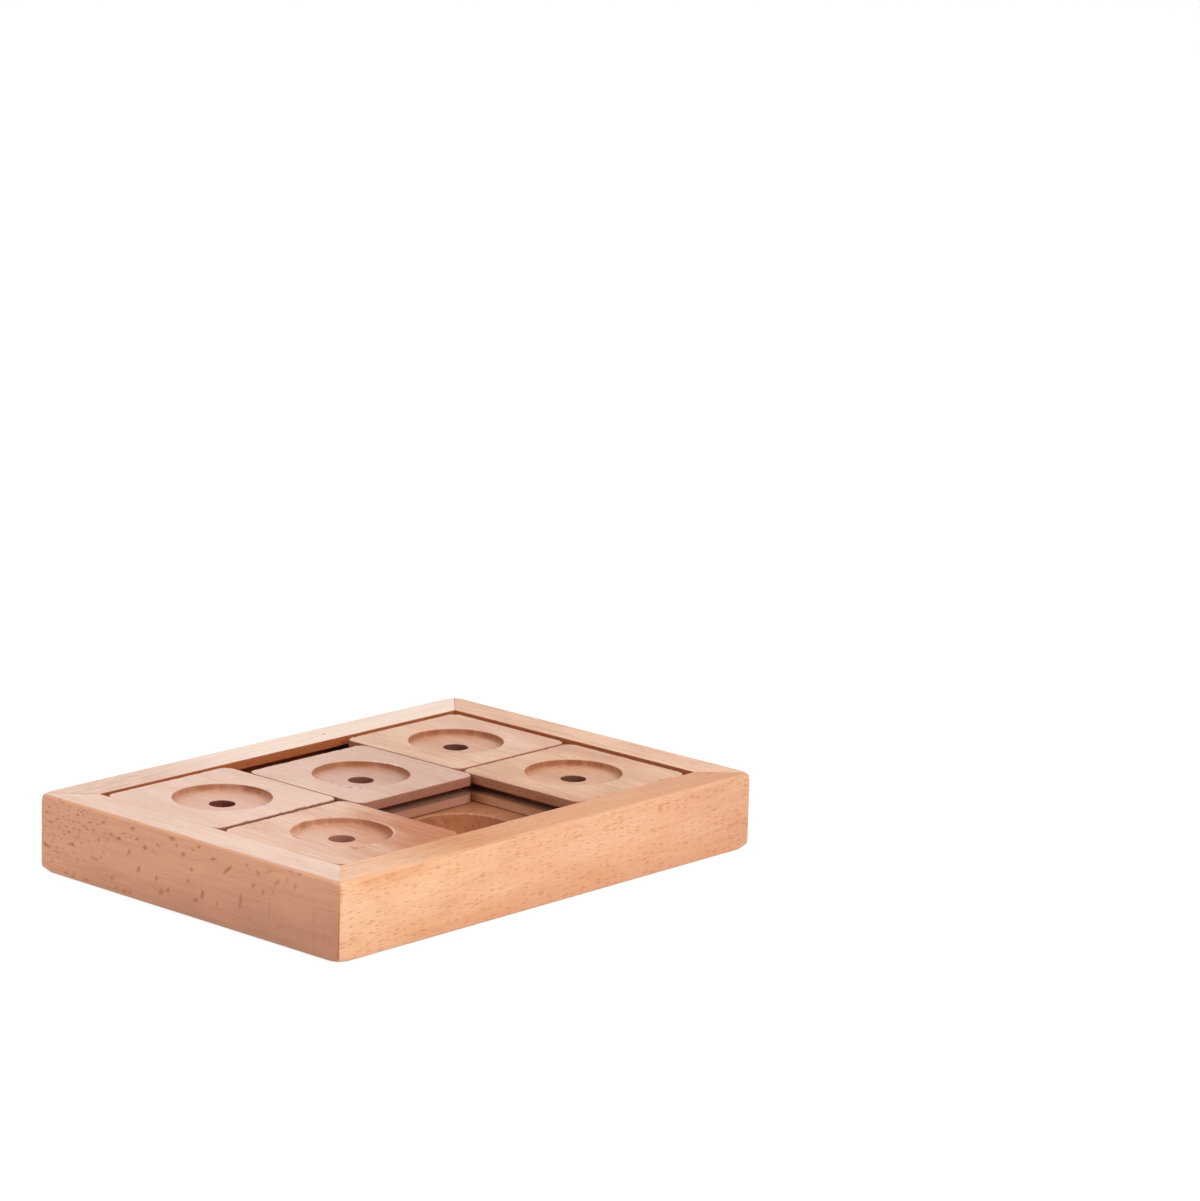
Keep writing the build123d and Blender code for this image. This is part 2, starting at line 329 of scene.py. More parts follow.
def top_rings(circle, edge):
    """From the dish's rim over the top and round the outer edge's easing."""
    start, stop = circle(DISH_R + 0.9), edge.outline - edge.normal * (TILE_EDGE + 1.3)
    rings = [ring(start * (1 - t) + stop * t, TILE_TOP) for t in np.linspace(0, 1, 30)]

    def inside(inset):
        return edge.outline - edge.normal * inset[:, None]

    # The sides' sawn wood and painted shade, and the painted shade line by the rail, reach up over the
    # easing.
    rings.append(ring(inside(edge.rounding + 0.75), TILE_TOP, sawn_and_shade=0.35 * edge.gap_shade, edge=0.05))
    rings.append(ring(inside(edge.rounding + 0.35), TILE_TOP, sawn_and_shade=0.7 * edge.gap_shade, edge=0.2))
    for over in np.linspace(90, 0, 7):
        a = radians(over)
        inset = edge.rounding * (1 - cos(a)) + edge.ragged * (0.4 + 0.6 * sin(max(a, 0.3)))
        z = TILE_TOP - edge.rounding * (1 - sin(a)) - 0.6 * edge.ragged * sin(a) ** 2
        sawn_and_shade = 0.75 * min(max((85 - over) / 42, 0), 1) * edge.dark + 0.45 * edge.gap_shade
        rings.append(ring(inside(inset), z, sawn_and_shade=sawn_and_shade, edge=0.35 * min(max((over - 40) / 40, 0), 1)))
    for z, keep in ((11.2, 0.5), (10.8, 0.25), (10.2, 0.1), (9.4, 0.0), (8.5, 0.0)):
        rings.append(ring(inside(edge.ragged * keep), z, sawn_and_shade=0.75 * edge.dark))
    return rings


def under_rings(circle, edge, core, tongue):
    """From the plate's foot round the groove and the tongues, down the base and back to the hole."""
    plate = edge.outline

    def between(a, b, steps, z, sawn_and_shade):
        return [ring(a * (1 - t) + b * t, z, sawn_and_shade=sawn_and_shade) for t in steps]

    # The groove, core and tongues under the plate are darker: sawn wood and painted shade.
    rings = [ring(plate, PLATE_Z, sawn_and_shade=0.9)]
    rings += between(plate, core, (0.1, 0.4, 0.7), PLATE_Z, 0.9)
    rings += [ring(core, PLATE_Z, sawn_and_shade=1.0), ring(core, TONGUE_HIGH, sawn_and_shade=0.9)]
    rings += between(core, tongue, (0.25, 0.5, 0.75, 1.0), TONGUE_HIGH, 0.75)
    rings += [ring(tongue, z, sawn_and_shade=0.7) for z in (6.4, 5.3, TONGUE_LOW)]
    rings += between(tongue, core, (0.5, 1.0), TONGUE_LOW, 0.6)
    rings.append(ring(core, BASE_Z, sawn_and_shade=0.9))
    rings += between(core, plate, (0.3, 0.6, 0.9), BASE_Z, 0.7)
    rings.append(ring(plate, BASE_Z, sawn_and_shade=0.5))
    rings += [ring(plate, z, sawn_and_shade=0.4) for z in (3.0, 2.0, 1.2)]
    for a in np.radians(np.linspace(0, 90, 5)):
        eased_in = plate - edge.normal * TILE_EDGE * (1 - cos(a))
        rings.append(ring(eased_in, TILE_EDGE * (1 - sin(a)), sawn_and_shade=0.3))
    mouth = circle(HOLE_R + 0.25)
    rings += between(plate - edge.normal * TILE_EDGE, mouth, (0.25, 0.5, 0.75), 0.0, 0.2)
    rings.append(ring(mouth, 0.0, sawn_and_shade=0.5))
    return rings


def make_tile(node, seed, **look):
    """One tile as a fine mesh: sanded and slightly torn edges, a turned dish and a drilled hole."""
    look = SimpleNamespace(**{**TILE_LOOK, **look})
    outline, normal, tongue = tile_outline()
    centre = np.array([TILE / 2, TILE / 2])
    angle = np.arctan2(outline[:, 1] - centre[1], outline[:, 0] - centre[0])
    ray = np.stack([np.cos(angle), np.sin(angle)], 1)

    def circle(radius):
        return centre + ray * np.reshape(radius, (-1, 1))

    edge, rim = worn_edge(outline, normal, seed, look), worn_rim(angle, seed, look)
    core = np.maximum(outline, SLOT)
    rings = dish_rings(circle, rim) + top_rings(circle, edge) + under_rings(circle, edge, core, tongue)
    x, y, z, sawn_and_shade, worn, hole, wall = np.moveaxis(np.array(rings), 2, 0)
    away = np.hypot(x - centre[0], y - centre[1]) - DISH_R
    # Sanding leaves the top a little uneven, never proud of the tray.
    top = z > TILE_TOP - 0.01
    z = z - top * unit(away) * 0.03 * (1 + noise2(x / 9 + 60, y / 14 + 60, seed + 5))
    chip = np.zeros_like(z)
    for chip_x, chip_y, radius, depth in look.chips:
        d = np.hypot(x - chip_x, y - chip_y) * (1 + 0.25 * noise2(x * 2 + 90, y * 2 + 90, seed + 6))
        bowl = unit(1 - d / radius) ** 0.7 * (z > 10.4)
        z = z - depth * bowl
        chip = np.maximum(chip, unit(bowl * 2))
    on_floor = (z > DISH_Z - 0.2) & (away < -0.2)
    on_rim = (z > 11.5) & (away < 0.6) & (away > -1)
    looks = {"sawn_and_shade": sawn_and_shade, "edge": worn, "hole": hole, "chip": chip, "wall": wall}
    looks["glow"] = look.glow * unit(TILE_TOP - 1.2 - z) * on_floor
    looks["lift"] = rim.lift * on_rim
    low_corner = np.array(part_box(node)[0]) / MM
    ob = mesh_from_rings(node + "_wood", np.stack([x, y, z], 2) + low_corner, looks, True)
    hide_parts(node)
    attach(ob, node)
    return ob


# --- Rails ---
RAIL_LOOK = dict(
    marks=(),  # (along, height, length, width, tilt, darkness) of the larger ray flecks on the outer face
    specks=(),  # (along, inset, radius) of dark spots on the top
    mitre_line=((1.0, 1.0), (1.0, 1.0)),  # (depth, width) of the line that shows on top at each end
    glue=(0.0, 0.0),  # how much of one shows down each corner
    inner_edge=INNER,  # rounding of the inner top edge
    wall_cut=0.95,  # how sawn and shaded the inner wall looks above the groove, with painted shade in the narrow gap beside the tiles
)
BEND = 8  # stations round an upright corner
NEAR_MITRE = np.array([0.0, 0.05, 0.11, 0.19, 0.30, 0.45, 0.62, 0.80])  # as many, close to the mitred end


def rail_profile(slot, fine, inner, wall_cut):
    """A rail's section, up its outer face first: insets, heights, how worn, and how sawn and painted in
    shade.
    """
    out = []

    def arc(u, z, radius, start, count, worn):
        for a in np.radians(np.linspace(start, start - 90, count))[:-1]:
            out.append((u + radius * cos(a), z + radius * sin(a), worn, 0.0))

    def run(*path):
        """Straight from point to point, each given as (inset, height, steps to the next, how sawn and
        shaded).
        """
        for (u, z, count, sawn_and_shade), (next_u, next_z, *_) in zip(path, path[1:]):
            for t in np.arange(count) / count:
                out.append((u + (next_u - u) * t, z + (next_z - z) * t, 0.0, sawn_and_shade))

    arc(FOOT, FOOT, FOOT, 270, 8, 0.5)
    run((0, FOOT, fine, 0), (0, HEIGHT - TOP))
    arc(TOP, HEIGHT - TOP, TOP, 180, 8, 1.0)
    run((TOP, HEIGHT, 34, 0), (RAIL - inner, HEIGHT))
    arc(RAIL - inner, HEIGHT - inner, inner, 90, 6, 0.8)
    (low, high, depth), (panel_low, panel_high, panel_depth) = slot, PANEL_SLOT
    wall = [(RAIL, HEIGHT - inner, 7, wall_cut)]
    wall += [(RAIL, high, 6, 1), (RAIL - depth, high, 3, 1), (RAIL - depth, low, 6, 1), (RAIL, low, 10, 0.9)]
    wall += [(RAIL, panel_high, 3, 1), (RAIL - panel_depth, panel_high, 3, 1)]
    wall += [(RAIL - panel_depth, panel_low, 3, 1), (RAIL, panel_low, 4, 0.4)]
    run(*wall, (RAIL, 0, 6, 0), (6.0, 0, 12, 0), (FOOT, 0))
    return np.array(out).T


def rail_grid(depths, length, spacing):
    """Distances along a rail and in from its face, for its stations and its section's points. The end
    stations follow the rounded upright corner, or stand close together at the mitre."""
    count = int((length - 2 * UPRIGHT) / spacing)
    along = np.zeros((2 * BEND + count + 1, len(depths)))
    inset = np.zeros_like(along)
    shift = MITRE * sqrt(2)
    for j, depth in enumerate(depths):
        radius = UPRIGHT - depth
        if radius > MITRE * 1.5:
            start = 225 + degrees(asin(MITRE / radius))
            a = np.radians(np.linspace(start, 270, BEND + 1))[:-1]
            end_inset, end_along = UPRIGHT + radius * np.sin(a), UPRIGHT + radius * np.cos(a)
            plain_from = UPRIGHT
        else:
            plain_from = max(depth + shift, UPRIGHT) if depth <= UPRIGHT else depth + shift + 1.05
            end_inset = np.full(BEND, depth)
            end_along = depth + shift + (plain_from - depth - shift) * NEAR_MITRE
        middle = np.linspace(plain_from, length - plain_from, count + 1)
        along[:, j] = np.concatenate([end_along, middle, (length - end_along)[::-1]])
        inset[:, j] = np.concatenate([end_inset, np.full(count + 1, depth), end_inset[::-1]])
    return along, inset


def rounded(p, q, radius):
    """Distances in from two faces, moved in where they lie outside a rounding of their edge."""
    dp, dq = np.maximum(radius - p, 0), np.maximum(radius - q, 0)
    d = np.hypot(dp, dq)
    k = np.where((dp > 0) & (dq > 0) & (d > radius), radius / np.maximum(d, 1e-9), 1.0)
    return np.where(k < 1, radius - dp * k, p), np.where(k < 1, radius - dq * k, q)


def ease_corner(inset, end, height):
    """The sanded corners, rounder than the edges that meet there. end is the distance from the rail's end."""

    def near(d, reach):
        return eased(unit(1 - d / reach))

    upright = UPRIGHT + 1.3 * near(np.minimum(height, HEIGHT - height), 4.5)
    (new_inset, new_end), new_height = rounded(inset, end, upright), height
    close = end < 12
    for upper, plain, most, reach in ((True, TOP, 3.4, 6.5), (False, FOOT, 4.6, 7.5)):
        depth = HEIGHT - height if upper else height
        inset_a, depth_a = rounded(inset, depth, plain + (most - plain) * near(end, reach))
        end_b, depth_b = rounded(end, depth, plain + (most - plain) * near(inset, reach))
        new_inset = np.where(close, np.maximum(new_inset, inset_a), new_inset)
        new_end = np.where(close, np.maximum(new_end, end_b), new_end)
        deeper = np.where(close, np.maximum(depth_a, depth_b), depth)
        new_height = np.where(deeper > depth, HEIGHT - deeper if upper else deeper, new_height)
    return new_inset, new_end, new_height


def rail_length(side):
    return 2 * (HALF_X if side in ("front", "back") else HALF_Y)


def rail_place(side, along, inset):
    """Plan position so far along a rail, from its left end as seen from outside, and in from its face."""
    return {
        "front": (-HALF_X + along, -HALF_Y + inset),
        "back": (HALF_X - along, HALF_Y - inset),
        "left": (-HALF_X + inset, HALF_Y - along),
        "right": (HALF_X - inset, -HALF_Y + along),
    }[side]


def sanded(along, inset, height, length, seed, inner_edge):
    """Hand sanding: the outer top edge varies, the inner one is slightly torn, the top a little uneven."""
    depth = inset[len(inset) // 2]
    clear = unit(along / 6) * unit((length - along) / 6)
    outer = (height > HEIGHT - TOP - 1e-6) & (depth <= TOP + 1e-6)
    ease = (0.16 + 0.10 * noise1(along / 17, seed) + 0.04 * noise1(along / 2.1, seed + 1)) * outer
    weight = unit((height - HEIGHT + TOP) / TOP) * unit((TOP - depth) / TOP) * 2
    inset = inset + ease * weight * 0.8 * clear
    height = height - ease * weight * 0.8 * clear
    inner = (height > HEIGHT - inner_edge * 1.5) & (depth > RAIL - inner_edge - 1e-6)
    rough = 0.10 * np.maximum(noise1(along / 1.3 + 40, seed + 2), 0)
    rough = rough + 0.25 * np.maximum(noise1(along / 2.9 + 40, seed + 3) - 0.55, 0)
    fade = unit(1 - (HEIGHT - height) / (inner_edge * 3))
    inset = inset - rough * inner * fade * clear * (inner_edge / INNER)
    top = height > HEIGHT - 1e-4
    uneven = 1 + noise2(along / 21 + 9, inset / 7 + 9, seed + 4)
    return inset, height - top * 0.03 * uneven * clear * unit((inset - TOP) / 2), top


def mark_flecks(along, height, marks, seed):
    """How dark the larger ray flecks make a rail's outer face."""
    fleck = np.zeros_like(along)
    wobble = 1 + 0.25 * noise2(along * 1.7 + 70, height * 1.7 + 70, seed + 7)
    for mark_along, mark_height, long, wide, tilt, dark in marks:
        c, s = cos(radians(tilt)), sin(radians(tilt))
        dx, dz = along - mark_along, height - mark_height
        d = np.hypot((dx * c + dz * s) / (long / 2), (-dx * s + dz * c) / (wide / 2)) * wobble
        fleck = np.maximum(fleck, dark * unit((1.25 - d) / 0.6))
    return fleck


def mitre_cap(ring, side, row):
    """A rail's mitred end with two blind dowel bores square to it, as a cap for mesh_from_rings."""
    length, shift, middle = rail_length(side), MITRE * sqrt(2), RAIL / 2

    def at(along, inset):
        return np.array(rail_place(side, length - along if row else along, inset))

    base = at(middle + shift, middle)
    line = at(middle + 1 + shift, middle + 1) - base
    line /= np.linalg.norm(line)
    lengthwise = at(middle + shift + 1, middle) - base
    into = lengthwise - line * (lengthwise @ line)
    into = np.array([*into / np.linalg.norm(into), 0])
    turn = 2 * np.pi * np.arange(DOWEL_SIDES) / DOWEL_SIDES
    low, high = PANEL_SLOT[1], OPEN_SLOT[0]
    rims = []
    for level in DOWEL_LEVELS:
        xy = base + np.outer(DOWEL_R * np.cos(turn), line)
        rims.append(np.column_stack([xy, low + level * (high - low) + DOWEL_R * np.sin(turn)]))
    floors = [rim + into * DOWEL_DEEP for rim in rims]
    points = np.vstack([ring, *rims, *floors])

    def facing(face, direction):
        """The face, turned so that its normal points that way, or nothing if it has no area."""
        a, b, c = points[face[:3]]
        normal = np.cross(b - a, c - a)
        if np.linalg.norm(normal) < 1e-9:
            return []
        return [face if normal @ direction > 0 else face[::-1]]

    faces = []
    for triangle in tessellate_polygon([[Vector(p) for p in loop] for loop in (ring, *rims)]):
        faces += facing(list(triangle), -into)
    for i, rim in enumerate(rims):
        start = len(ring) + i * DOWEL_SIDES
        floor = start + len(rims) * DOWEL_SIDES
        for k in range(DOWEL_SIDES):
            k1 = (k + 1) % DOWEL_SIDES
            faces += facing([start + k, start + k1, floor + k1, floor + k], rim.mean(0) - rim[k])
        faces += facing([floor + k for k in range(DOWEL_SIDES)], -into)
    return row, points[len(ring) :], faces


def make_rail(side, seed, spacing, fine, slot, **look):
    """One mitred rail as a fine mesh: spacing is between its stations, fine the steps up its face."""
    look = SimpleNamespace(**{**RAIL_LOOK, **look})
    length = rail_length(side)
    depths, heights, worn, sawn = rail_profile(slot, fine, look.inner_edge, look.wall_cut)
    along, inset = rail_grid(depths, length, spacing)
    height, edge, sawn_and_shade = (np.broadcast_to(v, along.shape) for v in (heights, worn, sawn))
    first = along < length / 2
    inset, height, top = sanded(along, inset, height, length, seed, look.inner_edge)
    # The mitres' sharp edges are eased, so that a fine line shows between two rails.
    from_end = np.minimum(along - inset, length - along - inset) - MITRE * sqrt(2)
    strength, breadth = (np.where(first, a, b) for a, b in zip(*look.mitre_line))
    line = unit(1 - from_end / (0.26 * breadth)) * (height > HEIGHT - 0.2) * (inset > UPRIGHT) * strength
    height = height - 0.16 * line
    head, tail = ease_corner(inset, along, height), ease_corner(inset, length - along, height)
    inset, end, height = (np.where(first, a, b) for a, b in zip(head, tail))
    along = np.where(first, end, length - end)
    # A line of glue shows down the corners, wider at the foot.
    station = np.arange(len(along))[:, None]
    near_end = np.minimum(station, len(along) - 1 - station)
    low = unit(1 - height / 6)
    seam = unit(1.35 - near_end * 0.45 / (1 + 2.5 * low)) * (1 - 0.4 * low)
    seam = seam * (depths < 0.02) * np.where(first, *look.glue) * np.clip((28 - height) / 8, 0.2, 1)
    face = (depths < 0.02) & (height > 1)
    speck = np.zeros_like(along)
    for speck_along, speck_inset, radius in look.specks:
        d = np.hypot(along - speck_along, inset - speck_inset)
        speck = np.maximum(speck, unit((radius * 1.5 - d) / radius) * top)
    looks = {
        "edge": edge,
        "sawn_and_shade": np.maximum(np.maximum(sawn_and_shade, line), seam),
        "fleck": mark_flecks(along, height, look.marks, seed) * face,
        "speck": speck,
    }
    points = np.stack([*rail_place(side, along, inset), height], 2)
    caps = [mitre_cap(points[row], side, row) for row in (0, len(points) - 1)]
    ob = mesh_from_rings(side + "_rail_wood", points, looks, False, caps)
    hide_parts(side + "_rail")
    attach(ob, "tray")
    return ob


# --- Materials ---
def empty_tree(owner):
    """The node tree of a material or the world, with nothing in it."""
    owner.use_nodes = True
    owner.node_tree.nodes.clear()
    return owner.node_tree


def add(kind, inputs=(), tree=None, **settings):
    """A new shader node, in that tree or else in that of the sockets that feed it."""
    inputs = dict(inputs)
    fed = {key: value for key, value in inputs.items() if isinstance(value, bpy.types.NodeSocket)}
    tree = tree or next(iter(fed.values())).id_data
    made = tree.nodes.new("ShaderNode" + kind)
    for key, value in settings.items():
        setattr(made, key, value)
    for key, value in inputs.items():
        if key in fed:
            tree.links.new(value, made.inputs[key])
        else:
            made.inputs[key].default_value = value
    return made


def maths(operation, a, b=0.0):
    return add("Math", {0: a, 1: b}, operation=operation).outputs[0]


def plus(a, b):
    return maths("ADD", a, b)


def minus(a, b):
    return maths("SUBTRACT", a, b)


def times(a, *factors):
    for factor in factors:
        a = maths("MULTIPLY", a, factor)
    return a


def vector(operation, a, b=(0, 0, 0)):
    made = add("VectorMath", {0: a, 1: b}, operation=operation)
    return made.outputs["Value" if operation in ("DOT_PRODUCT", "LENGTH") else "Vector"]


def dot(a, direction):
    return vector("DOT_PRODUCT", a, direction)


def scaled(a, x, y, z):
    return vector("MULTIPLY", a, (1 / x, 1 / y, 1 / z))


def ramp(value, low, high, to_low=0.0, to_high=1.0, kind="SMOOTHSTEP"):
    inputs = {"Value": value, "From Min": low, "From Max": high, "To Min": to_low, "To Max": to_high}
    return add("MapRange", inputs, interpolation_type=kind).outputs[0]


def noise(at, detail=2.0, roughness=0.5, distortion=0.0):
    inputs = {"Vector": at, "Scale": 1.0, "Detail": detail, "Roughness": roughness, "Distortion": distortion}
    return add("TexNoise", inputs).outputs[0]


def cells(at):
    made = add("TexVoronoi", {"Vector": at, "Scale": 1.0, "Randomness": 1.0})
    return made.outputs["Distance"], made.outputs["Color"]


def mix(factor, a, b, kind="MIX"):
    settings = dict(data_type="RGBA", blend_type=kind, clamp_factor=True)
    return add("Mix", {0: factor, 6: a, 7: b}, **settings).outputs[2]


def blend(factor, a, b):
    return add("MixShader", {0: factor, 1: a, 2: b}).outputs[0]


def linear(r, g, b):
    """An sRGB colour of 0 to 255 as a linear RGBA value."""

    def one(v):
        v /= 255
        return v / 12.92 if v <= 0.04045 else ((v + 0.055) / 1.055) ** 2.4

    return (one(r), one(g), one(b), 1.0)


def ratio(tone, base):
    """What a wood colour has to be multiplied by to turn base into tone."""
    return tuple(a / b for a, b in zip(linear(*tone)[:3], linear(*base)))


BEECH_LOOK = dict(
    pale=(228, 180, 142),  # two tones that the wood's clouds mix
    deep=(205, 148, 110),
    tint=(190, 125, 88),  # what grain lines turn the pale tone into
    rings=0.5,  # how strong growth rings are
    period=2.6,  # how wide they are
    pith=(70.0, 20.0),  # where their centre lies, across the rays and along them
    ring_zone=None,  # (direction, faint at, full at) in mm
    fleck_size=(6.5, 1.5, 14.0),  # along the grain, across it and along the rays
    fleck_share=0.45,  # how many cells hold a fleck
    fleck_tint=(196, 138, 102),
    fleck_power=0.6,
    fleck_fade=None,  # (direction, none at, full at) in mm
    fibre=0.5,  # how strong the fine fibres are
    mottle=0.5,  # and the broader streaks
    waves=1.6,  # how far the grain wanders
    figure=(),  # wavy bands: (direction, centre, half width, tone, amount, side they show on)
    sides=(),  # faces in another tone, from wood, painted shade and painted sheen: (direction, tone, amount, duller by, windows along other directions)
    shades=(),  # regions in another tone, mostly painted shade: (direction, none at, full at, tone, amount, duller by)
    # Colour and strength of sawn wood, also used as painted shade in grooves, slots and seams.
    sawn_and_shade_colour=(128, 58, 26),
    sawn_and_shade_power=0.85,
    edge_light=0.4,  # how much paler worn edges are
    hole_colour=(120, 72, 50),
    hole_burr=0.25,  # how dark the torn fibres in the hole are
    scratches=0.15,  # and how strong those on the dish's floor
)


class Beech:
    """Beech as a solid pattern of fibres, growth rings and rays, which show as dashes on a face across them.
    Each step paints over self.colour and may add to self.height and self.gloss."""

    def __init__(self, name, grain, ray, seed, **look):
        self.material = bpy.data.materials.new(name)
        self.tree = empty_tree(self.material)
        self.look = SimpleNamespace(**{**BEECH_LOOK, **look})
        self.lay_grain(Vector(grain).normalized(), Vector(ray).normalized(), seed)
        self.grow()
        self.grow_rays()
        self.base_tone()
        self.stain_figure()
        self.end_grain()

    def attribute(self, name):
        settings = dict(attribute_name=name, attribute_type="GEOMETRY")
        return add("Attribute", tree=self.tree, **settings).outputs["Fac"]

    def reach(self, direction, none_at, full_at, least=0.0):
        """A window along a direction, from one place in mm to another."""
        return ramp(dot(self.at, direction), none_at * MM, full_at * MM, least)

    def seen_on(self, direction):
        return ramp(dot(self.normal, direction), 0.12, 0.6)

    def paint(self, tone, *amount):
        self.colour = mix(times(*amount), self.colour, linear(*tone))

    # Multiplies the colour by a tone: for figure, fibres and torn wood, and for painted shade in the dish.
    def multiply_tone(self, tone, *amount):
        self.colour = mix(times(*amount), self.colour, (*tone, 1), "MULTIPLY")

    def roughen(self, by, amount):
        self.gloss = plus(self.gloss, times(amount, by))

    def lay_grain(self, along, outward, seed):
        """Coordinates in mm along the grain, across the rays and along them, still and wandering."""
        outward = (outward - along * outward.dot(along)).normalized()
        self.along, self.outward = along, outward
        place = add("TexCoord", tree=self.tree)
        self.at, self.normal = place.outputs["Object"], place.outputs["Normal"]
        self.shift = np.random.default_rng(seed).uniform(40, 400, 3).tolist()
        axes = zip((along, along.cross(outward), outward), self.shift)
        axes = [plus(dot(self.at, axis / MM), shift) for axis, shift in axes]
        self.still = add("CombineXYZ", enumerate(axes)).outputs[0]
        wander = minus(noise(scaled(self.still, 55, 24, 24)), 0.5)
        waver = minus(noise(scaled(self.still, 9, 4, 4), 1.0), 0.5)
        waves = self.look.waves
        drift = plus(times(wander, 7.0 * waves), times(waver, 0.5 * waves))
        push = add("CombineXYZ", {0: 0.0, 1: drift, 2: drift}).outputs[0]
        self.moved = vector("ADD", self.still, push)

    def grow(self):
        """Growth rings round a pith outside the piece, fibres, streaks, clouds and pores."""
        look, still, moved = self.look, self.still, self.moved
        pith = (0, self.shift[1] + look.pith[0], self.shift[2] + look.pith[1])
        flat = vector("MULTIPLY", vector("SUBTRACT", moved, pith), (0, 1, 1))
        uneven = times(noise(scaled(still, 120, 9, 9)), 2.2)
        radius = plus(vector("LENGTH", flat), uneven)
        turn = maths("FRACT", maths("DIVIDE", radius, look.period))
        late = times(ramp(turn, 0.35, 0.93), ramp(turn, 1.0, 0.95))
        year = noise(vector("MULTIPLY", flat, (0, 0.19, 0.19)), 1.0)
        self.rings = times(late, ramp(year, 0.3, 0.7, 0.25))
        self.fibres = noise(scaled(moved, 16, 0.33, 0.33), 3.0, 0.62)
        self.streaks = noise(scaled(moved, 34, 1.5, 2.4), 2.0, 0.55)
        self.cloud = noise(scaled(still, 38, 15, 15))
        self.pores = noise(scaled(moved, 1.5, 0.16, 0.16), 1.0)

    def grow_rays(self):
        """Rays: flat spindles, a few millimetres tall along the grain, thin, and deep towards the pith."""
        look = self.look
        distance, pick = cells(scaled(self.moved, *look.fleck_size))
        parts = add("SeparateColor", {0: pick}).outputs
        size = ramp(parts[1], 0, 1, 0.24, 0.40, "LINEAR")
        spindle = ramp(maths("DIVIDE", distance, size), 1.15, 0.55)
        empty = 1 - look.fleck_share
        self.flecks = times(spindle, ramp(parts[0], empty - 0.08, empty + 0.08))
        if look.fleck_fade:
            self.flecks = times(self.flecks, self.reach(*look.fleck_fade))
        # On faces along the rays they would show as bands, which are only faint in this wood.
        broad = maths("ABSOLUTE", dot(self.normal, self.outward))
        self.flecks = times(self.flecks, ramp(broad, 0.3, 0.8, 0.2))
        long, wide, deep = look.fleck_size
        distance, _ = cells(scaled(self.moved, long * 0.42, wide * 0.42, deep * 0.5))
        self.fine_flecks = times(ramp(distance, 0.34, 0.12), 0.45)

    def base_tone(self):
        """Clouds of two tones, then faces and regions painted in other tones: a band of more orange wood and
        a darker foot on the front rail's face, painted sheen and a painted highlight on the back rail's top,
        and otherwise painted shade.
        """
        look = self.look
        self.colour = mix(ramp(self.cloud, 0.3, 0.7), linear(*look.pale), linear(*look.deep))
        self.gloss = plus(0.42, times(minus(self.fibres, 0.5), 0.22))
        for direction, tone, amount, duller, *windows in look.sides:
            shown = times(self.seen_on(direction), amount, *(self.reach(*w) for w in windows))
            self.paint(tone, shown)
            self.roughen(duller, shown)
        for direction, none_at, full_at, tone, amount, duller in look.shades:
            wavy = times(minus(self.cloud, 0.5), 0.03)
            place = plus(dot(self.at, direction), wavy)
            shown = times(ramp(place, none_at * MM, full_at * MM), amount)
            self.paint(tone, shown)
            self.roughen(duller, shown)

    def stain_figure(self):
        """The figure, which darkens or lightens whatever wood it lies in."""
        look = self.look
        grain_tone, fleck_tone = ratio(look.tint, look.pale), ratio(look.fleck_tint, look.pale)
        self.multiply_tone(grain_tone, ramp(self.streaks, 0.42, 0.72), 0.7 * look.mottle)
        if look.ring_zone:
            self.rings = times(self.rings, self.reach(*look.ring_zone, 0.35))
        self.multiply_tone(grain_tone, self.rings, look.rings)
        for direction, centre, half, tone, amount, side in look.figure:
            off = maths("ABSOLUTE", minus(dot(self.at, direction), centre * MM))
            band = ramp(off, half * MM, half * 0.4 * MM)
            wavy = ramp(noise(scaled(self.moved, 13, 2.0, 2.6), 3.0, 0.6, 0.6), 0.42, 0.66)
            self.multiply_tone(tone, band, wavy, self.seen_on(side), amount)
        self.multiply_tone(grain_tone, ramp(self.fibres, 0.5, 0.74), 0.6 * look.fibre)
        self.multiply_tone((1.07, 1.10, 1.13), ramp(self.fibres, 0.46, 0.24), 0.6 * look.fibre)
        self.multiply_tone((0.62, 0.52, 0.46), ramp(self.pores, 0.6, 0.8), 0.3)
        self.multiply_tone(fleck_tone, self.fine_flecks, 0.6 * look.fleck_power)
        self.multiply_tone(fleck_tone, self.flecks, look.fleck_power)

    def end_grain(self):
        """End grain is darker and duller. Fibres and pores stand up a little, and rays lie lower."""
        end = ramp(maths("ABSOLUTE", dot(self.normal, self.along)), 0.55, 0.98)
        self.paint((178, 118, 82), end, 0.35)
        self.roughen(0.12, end)
        self.height = plus(times(self.fibres, 0.6), times(self.pores, 0.25))
        self.height = minus(self.height, times(self.flecks, 0.35))

    def saw(self):
        """Wood sawn across its fibres is darker, duller and a little torn, and the same mark paints shade
        into grooves, slots and the seams between pieces.
        """
        sawn_and_shade = self.attribute("sawn_and_shade")
        self.paint(self.look.sawn_and_shade_colour, sawn_and_shade, self.look.sawn_and_shade_power, ramp(self.fibres, 0.3, 0.7, 0.9))
        torn = ramp(noise(scaled(self.still, 2.6, 0.9, 0.9), 3.0, 0.7), 0.42, 0.62)
        self.multiply_tone((0.66, 0.58, 0.52), torn, sawn_and_shade, 0.55)
        self.roughen(0.15, sawn_and_shade)

    def wear(self):
        """Worn edges are paler."""
        light = self.look.edge_light
        streaky = ramp(self.streaks, 0.3, 0.7, 0.1 * light, light)
        self.paint((240, 202, 170), self.attribute("edge"), streaky)

